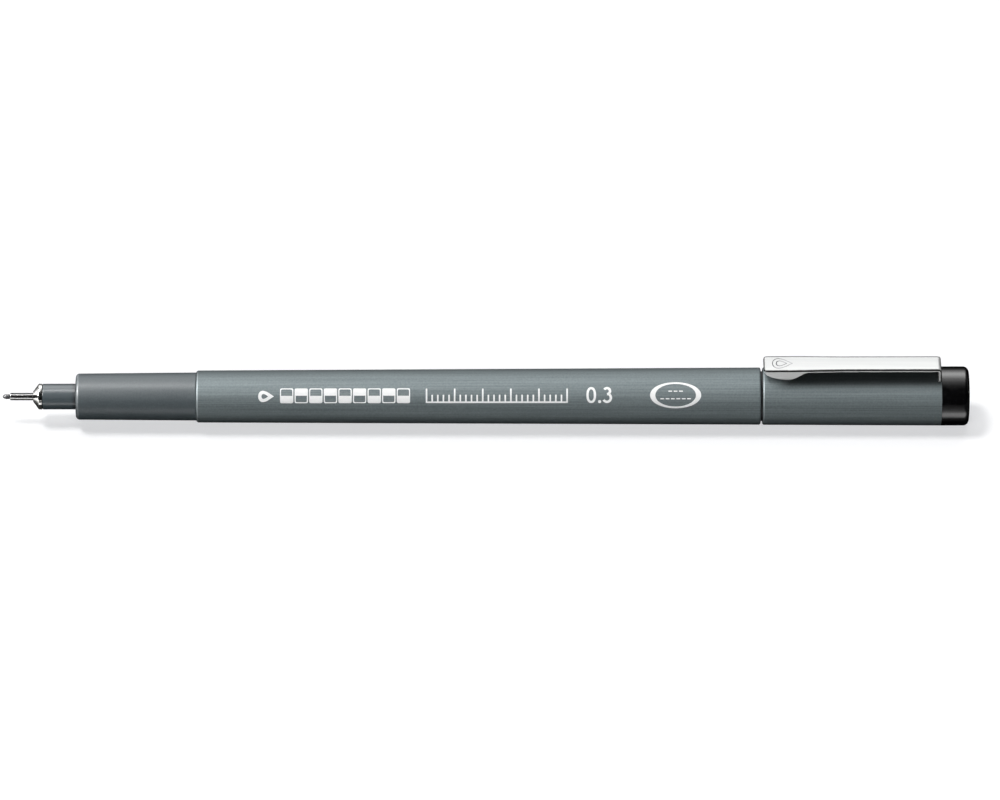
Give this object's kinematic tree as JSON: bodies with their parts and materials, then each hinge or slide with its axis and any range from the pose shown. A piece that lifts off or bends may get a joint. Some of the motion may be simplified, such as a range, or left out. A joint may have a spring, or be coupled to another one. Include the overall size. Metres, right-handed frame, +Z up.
{
  "type": "technical pen",
  "caption": "Fine-line technical drawing pen with a metal-clad tip, slim tapered barrel and steel-clip cap posted on its tail.",
  "frame": {"origin": "on the surface below the middle of the pen's posted length, midway across its width", "axes": "+X from the writing tip to the cap's closed end, +Y across the pen, +Z up through the clip"},
  "size_m": [0.1554, 0.0094, 0.0112],
  "materials": {
    "tip_fibre": "ink-stained, satin",
    "nib_steel": "drawn, fine rings",
    "ferrule_metal": "polished",
    "sleeve_plastic": "smoky, glossy",
    "wick_fibre": "ink-soaked fibre",
    "grip_plastic": "matt, fine grain",
    "barrel_lacquer": "satin, fine lengthwise streaks",
    "reservoir_fibre": "ink-soaked fibre",
    "wrap_film": "thin clear film",
    "tail_plastic": "satin black",
    "liner_plastic": "natural, waxy",
    "cap_lacquer": "satin, fine lengthwise streaks",
    "plug_plastic": "deep black, glossy",
    "clip_steel": "bright satin sheet"
  },
  "bodies": {
    "pen_body": {"writing_tip": "tip_fibre", "nib_tube": "nib_steel", "nib_cone": "ferrule_metal", "nib_sleeve": "sleeve_plastic", "feed_wick": "wick_fibre", "grip_section": "grip_plastic", "barrel_tube": "barrel_lacquer", "ink_reservoir": "reservoir_fibre", "reservoir_wrap": "wrap_film", "tail_plug": "tail_plastic"},
    "liner": {"cap_liner": "liner_plastic"},
    "cap": {"cap_shell": "cap_lacquer", "cap_end_plug": "plug_plastic", "clip_foot": "clip_steel"},
    "clip": {"clip_arm": "clip_steel"}
  },
  "joints": [
    {"name": "cap_pull", "type": "slide", "parent": "pen_body", "child": "liner", "axis": [1, 0, 0], "range_m": [0, 0.04]},
    {"name": "cap_turn", "type": "hinge", "parent": "liner", "child": "cap", "pos_m": [0, 0, 0.00475], "axis": [1, 0, 0], "continuous": true},
    {"name": "clip_flex", "type": "hinge", "parent": "cap", "child": "clip", "pos_m": [0.07279, 0, 0.00891], "axis": [0, 1, 0], "range_deg": [0, 4], "stiffness_Nm_per_rad": 0.6}
  ]
}
